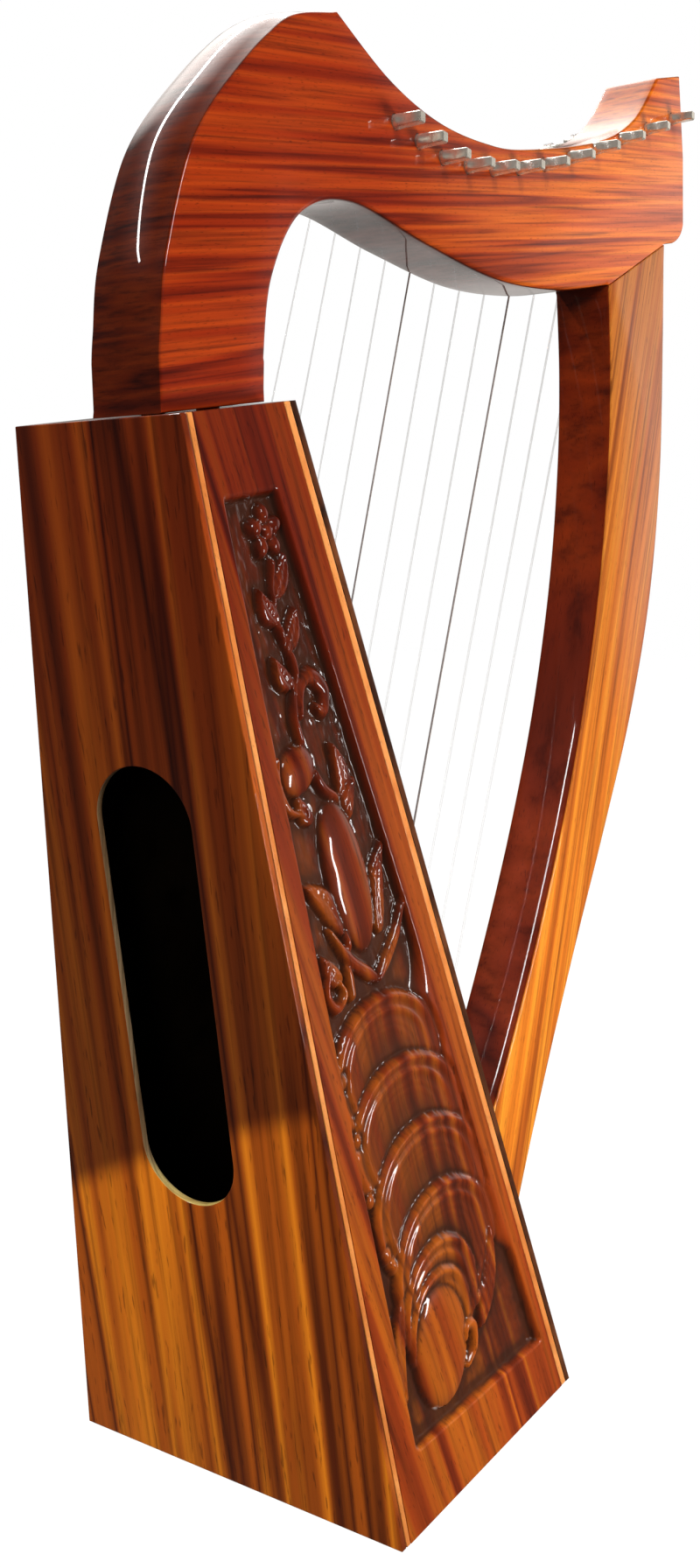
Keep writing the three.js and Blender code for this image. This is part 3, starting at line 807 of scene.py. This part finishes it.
def paint_slot_rim(mesh, bare):
    """The slot's cut edge shows unstained wood."""
    mesh.materials.append(bare)
    index = len(mesh.materials) - 1
    for polygon in mesh.polygons:
        leftward = polygon.center.y / MM - SLOT_MIDDLE[0]
        up = (polygon.center - row(0, 0, 0)).dot(UP_BACK) / MM - SLOT_MIDDLE[1]
        inside = abs(leftward) < SLOT_HALF[0] + 1.5 and abs(up) < SLOT_HALF[1] + 1.5
        if inside and abs(polygon.normal.dot(BACK_OUT)) < 0.6:
            polygon.material_index = index


def make_box(paint):
    def back_paint(mesh):
        paint_inside(mesh, -BACK_OUT, paint["inside"])
        paint_slot_rim(mesh, paint["bare"])

    def shaded_inside(inward):
        return lambda mesh: paint_inside(mesh, inward, paint["inside"])

    eased("back_panel", 0.5, paint["back"], back_paint)
    eased("soundboard", 0.5, paint["board"], shaded_inside(-BOARD_OUT))
    eased("base_board", 0.6, paint["block"], paint=shaded_inside(Vector((0, 0, 1))))
    eased("top_block", 0.6, paint["block"], paint=shaded_inside(-UP_BACK))
    eased("string_rib", 0.7, paint["rib"])
    for hand in ("right", "left"):
        eased(f"back_binding_{hand}", 0.35, paint["binding"])
        eased(f"front_binding_{hand}", 0.35, paint["binding"])
        # The linings here, and the toe block and inner rib below, take the box's nearly black painted shade.
        repaint(f"back_lining_{hand}", paint["inside"])
        repaint(f"front_lining_{hand}", paint["inside"])
    for node in ("toe_block", "inner_rib"):
        repaint(node, paint["inside"])
    for node in ("neck_dowel_1", "neck_dowel_2", "pillar_dowel"):
        repaint(node, paint["bare"])
    for node in ("foot_bolt_1", "foot_bolt_2"):
        repaint(node, paint["steel"])


def repaint(node, material):
    nodes[node].data.materials.clear()
    nodes[node].data.materials.append(material)


# ---- Carved sides -------------------------------------------------------------------------------
# The carving is drawn in millimetres on the side's face: forwards from its back edge, and up that edge.

FIELD_DEPTH = 3.2
FIELD_BACK = (20.0, 13.0)  # the wood left behind the sunk field, at its foot and at its top
FIELD_FRONT = (18.0, 19.2)  # and in front of it
FIELD_BOTTOM = 30.0
FIELD_TOP = 27.0
GRID_ROWS = 520
GRID_COLUMNS = 150


def smoothstep(value):
    value = np.clip(value, 0, 1)
    return value * value * (3 - 2 * value)


def turned_to(u, v, middle, angle):
    """Coordinates from middle, with the first one along the angle (degrees from forwards)."""
    a = math.radians(angle)
    x, y = u - middle[0], v - middle[1]
    return x * math.cos(a) + y * math.sin(a), y * math.cos(a) - x * math.sin(a)


def round_over(inside, width):
    """0 at the edge of a shape, rising like a quarter circle to 1 at that width inside it."""
    rest = 1 - np.clip(inside / width, 0, 1)
    return np.sqrt(1 - rest * rest)


class Relief:
    """The carved face's height below the panel's surface, built motif by motif."""

    def __init__(self, u, v, ground):
        self.u, self.v = u, v
        self.height = ground
        self.ground = ground.copy()

    def lay(self, inside, height):
        """Puts a motif over what is there; inside is the distance in from its outline."""
        groove = np.clip(1 + inside / 1.6, 0, 1) * (inside < 0)
        self.height = self.height - 0.7 * groove * (self.height - self.ground + 0.6 > 0)
        self.height = np.where(inside > 0, height, self.height)

    def ellipse(self, middle, half, angle=0.0, low=-2.6, high=-0.15, width=None):
        x, y = turned_to(self.u, self.v, middle, angle)
        radius = np.hypot(x / half[0], y / half[1])
        inside = (1 - radius) * min(half)
        self.lay(inside, low + (high - low) * round_over(inside, width or min(half)))
        return x, y, inside

    def stroke(self, points, radii, low=-2.5, high=-0.4):
        """A rounded stem along a line whose radius runs through the given ones."""
        path = np.array(spline(points, 8))
        width = np.interp(np.linspace(0, 1, len(path)), np.linspace(0, 1, len(radii)), radii)
        best = np.full(self.u.shape, -99.0)
        share = np.ones(self.u.shape)
        for i in range(len(path) - 1):
            (ax, ay), (bx, by) = path[i], path[i + 1]
            length = max((bx - ax) ** 2 + (by - ay) ** 2, 1e-6)
            t = np.clip(((self.u - ax) * (bx - ax) + (self.v - ay) * (by - ay)) / length, 0, 1)
            radius = width[i] + (width[i + 1] - width[i]) * t
            inside = radius - np.hypot(self.u - ax - (bx - ax) * t, self.v - ay - (by - ay) * t)
            closer = inside > best
            best = np.where(closer, inside, best)
            share = np.where(closer, inside / radius, share)
        self.lay(best, low + (high - low) * np.sqrt(np.clip(1 - (1 - share) ** 2, 0, 1)))

    def leaf(self, root, angle, length, width, bend=0.0, low=-2.5, high=-0.3):
        """A pointed leaf from its root, with a sunk midrib and slanting veins."""
        x, y = turned_to(self.u, self.v, root, angle)
        t = np.clip(x / length, 0, 1)
        y = y - bend * 4 * t * (1 - t)
        half = width * np.sin(math.pi * t**0.75) ** 0.8 + 0.02
        inside = np.where((x > 0) & (x < length), half - np.abs(y), -np.abs(x - length * t) - np.abs(y))
        swell = np.sqrt(np.clip(1 - (np.abs(y) / half) ** 2, 0, 1))
        rib = 0.55 * np.exp(-((y / 0.7) ** 2)) * (t < 0.85)
        veins = 0.13 * np.cos(2 * math.pi * (x - 1.2 * np.abs(y)) / 3.4) * (t < 0.9)
        self.lay(inside, low + (high - low) * (0.25 + 0.75 * swell) * (0.75 + 0.25 * t) - rib + veins)

    def scale(self, middle, half, angle=-16.0):
        """An arched scale: two raised rims, then a hollow face with fine flutes following the rim."""
        x, y = turned_to(self.u, self.v, middle, angle)
        radius = np.hypot(x / half[0], y / half[1])
        inside = (1 - radius) * min(half)
        fade = 1 - 0.75 * smoothstep((x / half[0] - 0.35) / 0.6)
        outer_rim = 1.5 * np.exp(-(((inside - 2.3) / 1.5) ** 2))
        inner_rim = 0.9 * np.exp(-(((inside - 7.0) / 1.2) ** 2))
        flutes = 0.10 * np.cos(2 * math.pi * inside / 2.8)
        flutes = flutes * smoothstep((inside - 9) / 3) * smoothstep((18 - inside) / 6)
        hollow = -1.55 - 0.9 * smoothstep((inside - 8) / 14)
        self.lay(inside, np.minimum(hollow + (outer_rim + inner_rim) * fade + flutes, -0.05))


def carve(u, v, field_in, soft_front):
    """Heights of the carved face: a sunk field with hammered ground, foliage above and scales below."""
    rng = np.random.default_rng(12)
    walls = smoothstep(field_in["back"] / 2.0) * smoothstep(field_in["top"] / 2.0)
    walls = walls * smoothstep(field_in["bottom"] / 2.0)
    walls = walls * smoothstep(field_in["front"] / (2.0 + 14.0 * soft_front))
    relief = Relief(u, v, -FIELD_DEPTH * walls)
    make_foliage(relief)
    make_scales(relief)
    carved = np.where(walls > 0.02, relief.height, 0.0)
    carved = np.maximum(carved, -FIELD_DEPTH - 0.25)
    on_ground = (carved < -FIELD_DEPTH + 0.5) & (walls > 0.98)
    hammer = blurred(rng.standard_normal(u.shape), 1.3) * 0.36
    carved = carved + np.where(on_ground, np.clip(hammer, -0.3, 0.3), 0)
    tool_marks = blurred(rng.standard_normal(u.shape), 3) * 0.35
    return blurred(carved + np.where(walls > 0.5, tool_marks, 0), 0.6), walls


def make_foliage(relief):
    stem = [(34, 352), (31, 334), (36, 316), (31, 298), (38, 276), (50, 262), (44, 236), (36, 214), (34, 200)]
    relief.stroke(stem, [1.4, 1.8, 2.2, 2.4, 2.4])
    pairs = ((1, (33, 340), 17), (-1, (32, 332), 15), (1, (34, 322), 16), (-1, (33, 310), 14))
    for side, root, length in pairs:
        relief.leaf(root, 62 if side > 0 else 122, length, 4.2, bend=-1.5 * side)
    relief.leaf((52, 262), 98, 26, 5.0, bend=-2)
    relief.leaf((50, 258), 60, 17, 4.4, bend=1.5)
    relief.leaf((30, 264), 118, 13, 3.6, bend=1)
    curl = [(34, 300), (37, 309), (44, 312), (50, 306), (48, 299), (44, 301)]
    relief.stroke(curl, [1.6, 2.6, 3.6, 3.0, 1.6])
    relief.ellipse((27, 283), (8.5, 10.5), 100, low=-2.6, high=-0.1)
    relief.stroke([(17, 290), (15, 282), (18, 272), (26, 268)], [0.8, 1.9, 1.9, 0.8])
    for k in range(5):
        around = math.radians(90 + 72 * k)
        relief.ellipse((34 + 5.2 * math.cos(around), 362 + 5.2 * math.sin(around)), (4.4, 3.2), 90 + 72 * k)
    relief.ellipse((34, 362), (2.6, 2.6), low=-0.8, high=0.0)
    relief.leaf((36, 222), 128, 30, 5.0, bend=-3)
    relief.leaf((58, 214), 72, 34, 5.5, bend=3)
    relief.leaf((30, 206), 125, 16, 4.0, bend=1)
    relief.ellipse((45, 240), (29, 12), 98, low=-2.7, high=0.0)
    relief.stroke([(28, 226), (36, 213), (47, 203), (52, 199)], [1.0, 2.6, 2.8, 1.4])
    relief.stroke([(76, 222), (68, 211), (58, 203), (52, 199)], [1.0, 2.6, 2.8, 1.4])
    relief.stroke([(24, 214), (20, 206), (24, 199), (30, 202), (28, 207)], [1.0, 1.8, 2.2, 1.8, 1.0])


def make_scales(relief):
    for middle, half in (
        ((49, 166), (36, 28)), ((55, 138), (40, 29)), ((61, 108), (41, 31)), ((64, 80), (38, 31)),
        ((55, 67), (28, 25)), ((52, 60), (23, 21)),
    ):
        relief.scale(middle, half)
    for middle in ((19, 174), (21, 151), (22, 127), (26, 103)):
        relief.ellipse(middle, (3.0, 3.6), low=-2.6, high=-0.6)
    relief.leaf((30, 84), 258, 40, 4.0, bend=-3)
    relief.leaf((78, 40), 62, 40, 6.0, bend=-4)
    relief.ellipse((50, 51), (19, 24), low=-2.6, high=-0.1, width=9)
    relief.stroke([(64, 33), (71, 37), (73, 45), (68, 48), (66, 44)], [1.2, 2.4, 2.8, 2.2, 1.4], high=-0.1)


def blurred(values, reach):
    """Values smoothed over about that many grid steps each way."""
    steps = np.arange(-math.ceil(reach * 3), math.ceil(reach * 3) + 1)
    weights = np.exp(-0.5 * (steps / reach) ** 2)
    weights /= weights.sum()
    edge = len(steps) // 2
    for axis in (0, 1):
        padded = np.pad(values, [(edge, edge) if a == axis else (0, 0) for a in (0, 1)], mode="edge")
        places = np.arange(values.shape[axis])
        values = sum(w * np.take(padded, places + k, axis) for k, w in enumerate(weights))
    return values


def panel_corners(node, out):
    """The four corners, bottom back round to top back, of a side panel's outer and inner faces."""
    points = [Vector(v.co) for v in nodes[node].data.vertices]
    level = max(p.dot(out) for p in points)
    found = []
    for inner in (False, True):
        depth = level - SIDE_THICK * MM
        face = [p for p in points if (p.dot(out) < depth + 1e-4 if inner else p.dot(out) > level - 1e-4)]
        ways = [Vector((-1, 0, -3)), Vector((1, 0, -1)), Vector((1, 0, 3)), Vector((-1, 0, 1))]
        found.append([max(face, key=lambda p: p.dot(way)) for way in ways])
    return found


def side_axes(hand):
    """Where the side's back edge meets the base, and its directions forwards, up and outwards."""
    corner = row(0, hand * BASE_WIDTH / 2, 0)
    top = row(BACK_TOP.x, hand * TOP_WIDTH / 2, BACK_TOP.z)
    up = (top - corner).normalized()
    ahead = row(BASE_DEPTH, hand * BASE_WIDTH / 2, 0) - corner
    forward = (ahead - up * ahead.dot(up)).normalized()
    out = up.cross(forward)
    return corner, forward, up, out * math.copysign(1, out.y * hand)


def field_distances(u, v):
    """How far in from each border of the sunk field, as the frame cuts it."""
    corner, forward, up, _ = side_axes(-1)

    def on_face(x, y, z):
        reach = row(x, y, z) - corner
        return np.array((reach.dot(forward), reach.dot(up))) / MM

    low_front = on_face(BASE_DEPTH, -BASE_WIDTH / 2, 0)
    high_front = on_face(FRONT_TOP.x, -TOP_WIDTH / 2, FRONT_TOP.z)
    high_back = on_face(BACK_TOP.x, -TOP_WIDTH / 2, BACK_TOP.z)
    ring = [
        np.array((FIELD_BACK[0], FIELD_BOTTOM + low_front[1] * FIELD_BACK[0] / low_front[0])),
        low_front + (-FIELD_FRONT[0], FIELD_BOTTOM),
        high_front + (-FIELD_FRONT[1], -FIELD_TOP),
        np.array((FIELD_BACK[1], high_back[1] - FIELD_TOP)),
    ]
    distances = {}
    for i, name in enumerate(("bottom", "front", "top", "back")):
        a, b = ring[i], ring[(i + 1) % 4]
        along = (b - a) / np.hypot(*(b - a))
        distances[name] = (v - a[1]) * along[0] - (u - a[0]) * along[1]
    return distances


def carved_side(name, hand, paint):
    """One side panel as a closed solid with its outer face carved."""
    node = f"side_panel_{name}"
    corner, forward, up, out = side_axes(hand)
    outer, inner = panel_corners(node, out)
    s = np.linspace(0, 1, GRID_COLUMNS)[None, :, None]
    t = np.linspace(0, 1, GRID_ROWS)[:, None, None]
    low_back, low_front, high_front, high_back = (np.array(p) for p in outer)
    face = (low_back * (1 - s) + low_front * s) * (1 - t) + (high_back * (1 - s) + high_front * s) * t
    u = ((face - np.array(corner)) @ np.array(forward)) / MM
    v = ((face - np.array(corner)) @ np.array(up)) / MM
    soft_front = smoothstep((v - 55) / 20) * smoothstep((205 - v) / 30)
    height, walls = carve(u, v, field_distances(u, v), soft_front)
    border = np.minimum(np.minimum(s[..., 0], 1 - s[..., 0]), np.minimum(t[..., 0], 1 - t[..., 0])) <= 0
    height = np.where(border, 0, np.minimum(height, 0))
    solid = face + height[..., None] * MM * np.array(out)
    # Painted shade: darker in the relief's hollows and deeper parts, with a slight darker tone over the whole
    # sunk field.
    hollow_shade = np.clip((blurred(height, 5) - height) * 0.7, 0, 0.8)
    painted_shade_and_tone = hollow_shade + 0.1 * walls + 0.5 * walls * smoothstep(-height / 2.8)
    mesh = panel_mesh(node + "_carved", solid, [np.array(p) for p in inner], np.clip(painted_shade_and_tone, 0, 0.92))
    mesh.materials.append(paint["side"])
    paint_inside(mesh, -out, paint["inside"])
    new_piece(node + "_carved", mesh, paint["side"], ROOT, node)


def panel_mesh(name, solid, inner, painted_shade_and_tone):
    rows, columns = solid.shape[:2]
    index = np.arange(rows * columns).reshape(rows, columns)
    quads = np.stack((index[:-1, :-1], index[:-1, 1:], index[1:, 1:], index[1:, :-1]), -1).reshape(-1, 4)
    rim = [*index[0, :-1], *index[:-1, -1], *index[-1, :0:-1], *index[:0:-1, 0]]
    flat = solid.reshape(-1, 3)
    starts = (0, columns - 1, columns + rows - 2, 2 * columns + rows - 3, len(rim))
    back = []
    for side in range(4):
        a, b = inner[side], inner[(side + 1) % 4]
        steps = starts[side + 1] - starts[side]
        back += [a + (b - a) * k / steps for k in range(steps)]
    vertices = np.concatenate((flat, np.array(back)))
    base = len(flat)
    walls = [
        (rim[k], rim[(k + 1) % len(rim)], base + (k + 1) % len(rim), base + k) for k in range(len(rim))
    ]
    faces = [tuple(int(i) for i in q) for q in quads] + [tuple(int(i) for i in w) for w in walls]
    faces.append(tuple(range(base, base + len(rim))))
    mesh = mesh_from(name, vertices, faces)
    point_outwards(mesh)
    smooth(mesh, 62)
    cavity = mesh.attributes.new("cavity", "FLOAT", "POINT")
    cavity.data.foreach_set("value", np.concatenate((painted_shade_and_tone.ravel(), np.zeros(len(rim)))).astype(np.float32))
    return mesh


# ---- Tuning pins, bridge pins and strings -------------------------------------------------------

PIN_LINE = [(70, 517), (125, 511), (200, 527), (285, 558), (362, 588)]
FIRST_PIN_X = 79
FIRST_PIN_STEP = 17
PIN_STEP_GROWTH = 1.6
HELIX_TURNS = 3
TURN_STEPS = 24


def pin_place(i):
    x = FIRST_PIN_X + FIRST_PIN_STEP * i + PIN_STEP_GROWTH * i * (i - 1) / 2
    curve = np.array(spline(PIN_LINE, 200))
    return x, float(np.interp(x, curve[:, 0], curve[:, 1]))


def make_tuning_pin(i, paint):
    number = f"{i + 1:02d}"
    x, z = pin_place(i)
    start = row(x, NECK_RIGHT - PIN_TAIL, z)
    end = NECK_THICK + PIN_TAIL + PIN_STUB
    square = [(2.1, 0.0, 0.78), (2.62, 0.5, 0.76), (2.78, 5.0, 0.76), (2.92, 9.4, 0.76), (2.8, 10.2, 1.0)]
    shank = [(PIN_R, 11.0, 1.0), (PIN_R, 14.0, 1.0)]
    for k in range(9):  # the fine thread, where the pin leaves the wood
        turn = end - PIN_STUB + 1.0 + k * 0.55
        shank += [(PIN_R, turn, 1.0), (PIN_R - 0.16, turn + 0.27, 1.0)]
    tip = [(PIN_R, end - 9.0, 1.0), (PIN_R, end - 0.7, 1.0)]
    tip += [(PIN_R - 0.25, end - 0.2, 1.0), (PIN_R - 0.8, end, 1.0)]
    rings = square + shank + tip
    profile = [(radius, along) for radius, along, _ in rings]
    name = f"tuning_pin_{number}"
    turned(
        name + "_steel", profile, start, (0, 1, 0), paint["steel"], name, name, "pin_steel",
        squareness=[share for _, _, share in rings],
    )


def make_bridge_pin(i, paint):
    number = f"{i + 1:02d}"
    x, z = pin_place(i)
    start = row(x + BRIDGE_SHIFT, NECK_LEFT - BRIDGE_DEEP + 0.3, z - BRIDGE_DROP)
    neck = BRIDGE_DEEP - 0.3
    length = neck + STRING_OFFSET
    profile = [
        (0.7, 0), (BRIDGE_R, 0.8), (BRIDGE_R, neck), (BRIDGE_R, length - 1.6), (BRIDGE_R, length - 1.0),
        (0.95, length - 0.4), (0.88, length), (0.95, length + 0.4), (BRIDGE_R, length + 1.0),
        (BRIDGE_R, length + 1.7), (1.05, length + 2.2), (0.5, length + 2.5),
    ]
    name = f"bridge_pin_{number}"
    turned(name + "_brass", profile, start, (0, 1, 0), paint["brass"], ROOT, name, "bridge_brass", sides=24)


def arc(middle, radius, first, last, steps):
    return [middle + radius * np.array((math.cos(a), math.sin(a))) for a in np.linspace(first, last, steps)]


def string_route(i, radius):
    """A string's line from its knot to the tuning pin in millimetres, and where it meets the pin."""
    s = FIRST_STRING_S - i * STRING_STEP
    offset_y = NECK_LEFT + STRING_OFFSET
    knot = np.array(board_point(s, -RIB_BACK - 2.0))
    mouth = np.array(board_point(s, RIB_FACE + 0.4))
    pin = np.array(pin_place(i))
    bridge = pin + (BRIDGE_SHIFT, -BRIDGE_DROP)
    bridge_r, pin_r = 0.88 + radius, PIN_R + radius
    rise = (bridge - mouth) / np.hypot(*(bridge - mouth))
    first = np.array((rise[1], -rise[0]))
    across = pin - bridge
    gap = np.hypot(*across)
    lean = (bridge_r - pin_r) / gap
    last = lean * across / gap + math.sqrt(1 - lean**2) * np.array((across[1], -across[0])) / gap
    angles = [math.atan2(n[1], n[0]) for n in (first, last)]
    rise_arc = arc(bridge, bridge_r, *angles, 5)
    flat = [(*knot, 0.0), (*mouth, 0.0)]
    inner = [mouth + (rise_arc[0] - mouth) * t for t in (0.02, 0.25, 0.5, 0.75)]
    flat += [(*p, offset_y * t) for p, t in zip(inner, (0.02, 0.25, 0.5, 0.75))]
    flat += [(*p, offset_y) for p in rise_arc]
    flat.append((*(pin + pin_r * last), offset_y))
    return [row(x, y, z) for x, z, y in flat], angles[1]


def coil_route(i, radius, start_angle):
    """A flat turn that the string's straight run meets however the pin stands, a helix, and the end through
    the pin's eye."""
    x, z = pin_place(i)
    eye = NECK_LEFT + PIN_STUB - 4.0
    first_y = NECK_LEFT + STRING_OFFSET
    ring = np.linspace(start_angle - 2 * math.pi, start_angle, TURN_STEPS, endpoint=False)
    flat = [(angle, first_y) for angle in ring]
    angles = np.linspace(start_angle, (2 * HELIX_TURNS + 1) * math.pi, TURN_STEPS * HELIX_TURNS)
    helix = zip(angles, np.linspace(first_y, eye, TURN_STEPS * HELIX_TURNS))
    reach = PIN_R + radius
    coil = [row(x + reach * math.cos(angle), y, z + reach * math.sin(angle)) for angle, y in (*flat, *helix)]
    end = [coil[-1], row(x - PIN_R - radius * 0.5, eye, z - 0.8), row(x - PIN_R * 0.6, eye, z - 0.2)]
    end += [row(x + PIN_R, eye, z), row(x + PIN_R + 1.6, eye, z)]
    return coil, end


def knot_points(middle, size):
    """A simple closed overhand knot."""
    points = []
    for t in np.linspace(0, 2 * math.pi, 49):
        x = math.sin(t) + 2 * math.sin(2 * t)
        y = math.cos(t) - 2 * math.cos(2 * t)
        points.append(middle + (Vector((0, 1, 0)) * x + BOARD_UP * y - BOARD_OUT * math.sin(3 * t)) * size)
    return points


def make_string(i, paint):
    number = f"{i + 1:02d}"
    dark = i + 1 in DARK_STRINGS
    radius = STRING_R[0] + (STRING_R[1] - STRING_R[0]) * i / (STRINGS - 1)
    nylon_look = paint["dark" if dark else "clear"]
    route, start_angle = string_route(i, radius)
    runs = [(route, radius * MM), (knot_points(route[0], 0.45 * MM), radius * MM)]
    name = f"string_{number}"
    new_piece(name + "_nylon", tubes_mesh(name, runs), nylon_look, ROOT, name)

    coil, end = coil_route(i, radius, start_angle)
    coil_mesh = tubes_mesh(name + "_coil", [(coil, radius * MM), (end, radius * MM)])
    new_piece(name + "_coil", coil_mesh, nylon_look, f"tuning_pin_{number}", None)


def make_eyelet(i, paint):
    s = FIRST_STRING_S - i * STRING_STEP
    x, z = board_point(s, RIB_FACE - 0.6)
    profile = [(2.1, 0), (2.5, 0.62), (2.35, 0.95), (1.9, 1.12), (1.35, 1.0), (0.95, 0.7), (0.8, 0.3)]
    name = f"eyelet_{i + 1:02d}"
    turned(name, profile, row(x, 0, z), BOARD_OUT, paint["brass"], ROOT, None, "bridge_brass", sides=20)


make_camera()
make_stage()
materials = make_materials()
make_box(materials)
pin_holes = [pin_place(index) for index in range(STRINGS)]
make_slab("neck", neck_outline(), materials["neck"], materials["neck_shaded_edge"], pin_holes)
make_slab("pillar", pillar_outline(), materials["pillar"], materials["pillar_shaded_edge"])
carved_side("right", -1, materials)
carved_side("left", 1, materials)
for index in range(STRINGS):
    make_tuning_pin(index, materials)
    make_bridge_pin(index, materials)
    make_eyelet(index, materials)
    make_string(index, materials)
